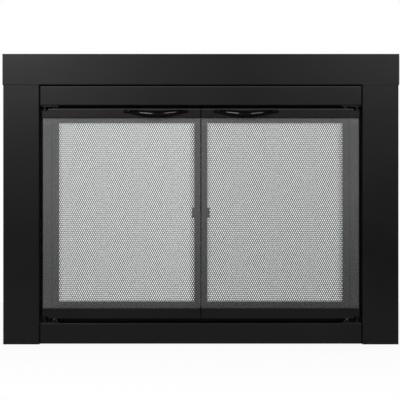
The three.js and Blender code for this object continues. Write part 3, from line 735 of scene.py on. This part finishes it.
def fastener(name, kind, point, axis, body, slotName):
    look = fasteners[kind]
    turns = [2 * math.pi * i / fastenerSides for i in range(fastenerSides)]

    def circle(radius, height):
        return [Vector((radius * math.cos(t), radius * math.sin(t), height)) for t in turns]

    def hexagon(radius, height):
        flat = radius * math.cos(math.pi / 6)
        return [
            Vector((math.cos(t), math.sin(t), 0)) * (flat / math.cos(t % (math.pi / 3) - math.pi / 6))
            + Vector((0, 0, height))
            for t in turns
        ]

    rings = [circle(*step) for step in look["profile"]]
    last = look["profile"][-1][1]
    if "socket" in look:
        radius, bottom = look["socket"]
        rings += [hexagon(radius, last), hexagon(radius, bottom)]
    if "hex" in look:
        radius, top = look["hex"]
        rings += [hexagon(radius, last), hexagon(radius, top), circle(*look["top"])]
    mesh = meshOf(name, [shell(rings)])
    upright = Vector((0, 0, 1)).rotation_difference(Vector(axis)).to_matrix().to_4x4()
    mesh.transform(Matrix.Translation(point) @ upright @ Matrix.Scale(mm, 4))
    placed(name, mesh, body, slotName)


def fastenerPair(title, kind, points, axis, body, slotName):
    for i, point in enumerate(points):
        fastener(f"{title}_{i + 1}", kind, point, axis, body, slotName)


def fitFasteners(side, hand):
    ways = (-1, 1)
    look = fixings["pivotScrews"]
    for level, up in (("top", -1), ("bottom", 1)):
        low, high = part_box(f"pivot_bracket_{level}_{side}")
        end, face = low.x if hand > 0 else high.x, low.z if up < 0 else high.z
        points = [(end + hand * out * mm, -look["deep"] * mm, face) for out in look["out"]]
        fastenerPair(f"pivot_screw_{level}_{side}", "button", points, (0, 0, up), "surround", "rail_coat")

    look = fixings["cornerScrews"]
    low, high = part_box("corner_bracket_" + side)
    end, middle, face = low.x if hand > 0 else high.x, (low.y + high.y) / 2, high.z - look["plate"] * mm
    points = [(end + hand * out * mm, middle, face) for out in look["out"]]
    fastenerPair("corner_screw_" + side, "button", points, (0, 0, -1), "surround", "zinc")

    look = fixings["floorBolts"]
    low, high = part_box("floor_bracket_" + side)
    middle, face = (low.x + high.x) / 2, low.y + look["plate"] * mm
    points = [(middle + way * look["apart"] * mm, face, look["high"] * mm) for way in ways]
    fastenerPair("floor_bolt_" + side, "hex", points, (0, 1, 0), "surround", "zinc")

    look = fixings["clampScrews"]
    low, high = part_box("lintel_clamp_" + side)
    middle, face = (low.x + high.x) / 2, low.z + look["plate"] * mm
    points = [(middle + way * look["apart"] * mm, -look["deep"] * mm, face) for way in ways]
    fastenerPair("clamp_screw_" + side, "button", points, (0, 0, 1), "surround", "zinc")

    look = fixings["tabRivets"]
    low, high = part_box("gate_pull_tab_" + side)
    end, middle, face = low.x if hand > 0 else high.x, (low.z + high.z) / 2, high.y - look["plate"] * mm
    points = [(end + hand * look["out"] * mm, face, middle + way * look["apart"] * mm) for way in ways]
    fastenerPair("tab_rivet_" + side, "rivet", points, (0, -1, 0), "mesh_gate_" + side, "gate_coat")


for side, hand in hands.items():
    fitFasteners(side, hand)
print("fasteners made")

# Room: a big soft screen in front, a dim ceiling, and white behind. A pair is where one starts and is full, or
# fades and ends, along the direction looked in.
room = {
    "fill": 0.5, "dark": 0.08, "behind": (0.05, 0.3), "ceiling": 0.1, "ceilingFrom": (0.6, 0.85),
    "screen": 0.235, "ramp": (-0.16, 0.14), "tilt": 0.2, "width": (0.10, 0.24), "top": (0.30, 0.60),
}
# White ground, lamps and lens, in metres; the lens's focal length and sensor are in millimetres.
ground = {"corners": ((-1.6, -0.8), (1.6, 1.2)), "white": 0.9, "glow": 1.03, "gloss": 0.5, "lit": 0.16}
lamps = {
    "left": {"at": (-1.15, -2.6, 1.68), "size": (1.2, 0.75), "power": 37},
    "right": {"at": (1.3, -2.6, 1.68), "size": (1.2, 0.75), "power": 24.5},
}
lampsAim = (0, 0, 0.4)
lens = {"at": (-0.0024, -2.99685, 0.406), "focal": 94.9, "sensor": 36}


def rays(paint):
    # what the eye sees straight or through glass, and what shines in gloss
    kinds = ("Is Camera Ray", "Is Transmission Ray", "Is Glossy Ray")
    camera, through, glossy = (paint.node("LightPath", {}, {}, kind) for kind in kinds)
    return 1 - (1 - camera) * (1 - through), glossy


def makeWorld():
    world = bpy.data.worlds.new("studio")
    bpy.context.scene.world = world
    paint = Paint(world, "OutputWorld")
    x, y, z = paint.axes(paint.node("TexCoord", {}, {}, "Generated"), "XYZ")
    ramp = paint.rise(z - x * room["tilt"], *room["ramp"])
    width = 1 - paint.rise(x * x, *room["width"])
    top = 1 - paint.rise(z, *room["top"])
    behind = paint.rise(y, *room["behind"])
    ceiling = paint.rise(z, *room["ceilingFrom"]) * room["ceiling"]
    shine = (ramp * width * top * room["screen"] + room["dark"] + ceiling) * (1 - behind) + behind
    seen, glossy = rays(paint)
    level = shine * glossy + (1 - glossy) * room["fill"]
    paint.done(paint.node("Background", {}, {"Color": grey(1), "Strength": seen + (1 - seen) * level}))


def makeFloor():
    (left, near), (right, far) = ground["corners"]
    corners = [(left, near, 0), (right, near, 0), (right, far, 0), (left, far, 0)]
    mesh = bpy.data.meshes.new("floor")
    mesh.from_pydata(corners, [], [(0, 1, 2, 3)])
    floor = bpy.data.objects.new("floor", mesh)
    bpy.context.scene.collection.objects.link(floor)
    paint = Paint(bpy.data.materials.new("floor"))
    seen, glossy = rays(paint)
    matt = paint.node("BsdfDiffuse", {}, {"Color": grey(ground["white"])})
    strength = seen * (ground["glow"] - ground["gloss"]) + ground["gloss"]
    glow = paint.node("Emission", {}, {"Strength": strength})
    shown = 1 - (1 - seen) * (1 - glossy)
    mesh.materials.append(paint.done(paint.blend(shown * (1 - ground["lit"]), matt, glow)))


def makeLamp(name, look):
    lamp = bpy.data.lights.new("lamp_" + name, "AREA")
    lamp.shape = "RECTANGLE"
    lamp.size, lamp.size_y = look["size"]
    lamp.energy = look["power"]
    piece = bpy.data.objects.new("lamp_" + name, lamp)
    bpy.context.scene.collection.objects.link(piece)
    piece.location = look["at"]
    way = Vector(lampsAim) - Vector(look["at"])
    piece.rotation_euler = way.to_track_quat("-Z", "Y").to_euler()


def makeCamera():
    camera = bpy.data.objects.new("camera", bpy.data.cameras.new("camera"))
    bpy.context.scene.collection.objects.link(camera)
    camera.location = lens["at"]
    camera.rotation_euler = (math.pi / 2, 0, 0)  # level, towards the fire
    camera.data.sensor_width = lens["sensor"]
    camera.data.lens = lens["focal"]
    bpy.context.scene.camera = camera


makeWorld()
makeFloor()
for name, look in lamps.items():
    makeLamp(name, look)
makeCamera()
bpy.context.scene.view_settings.view_transform = "Standard"
print("studio made")
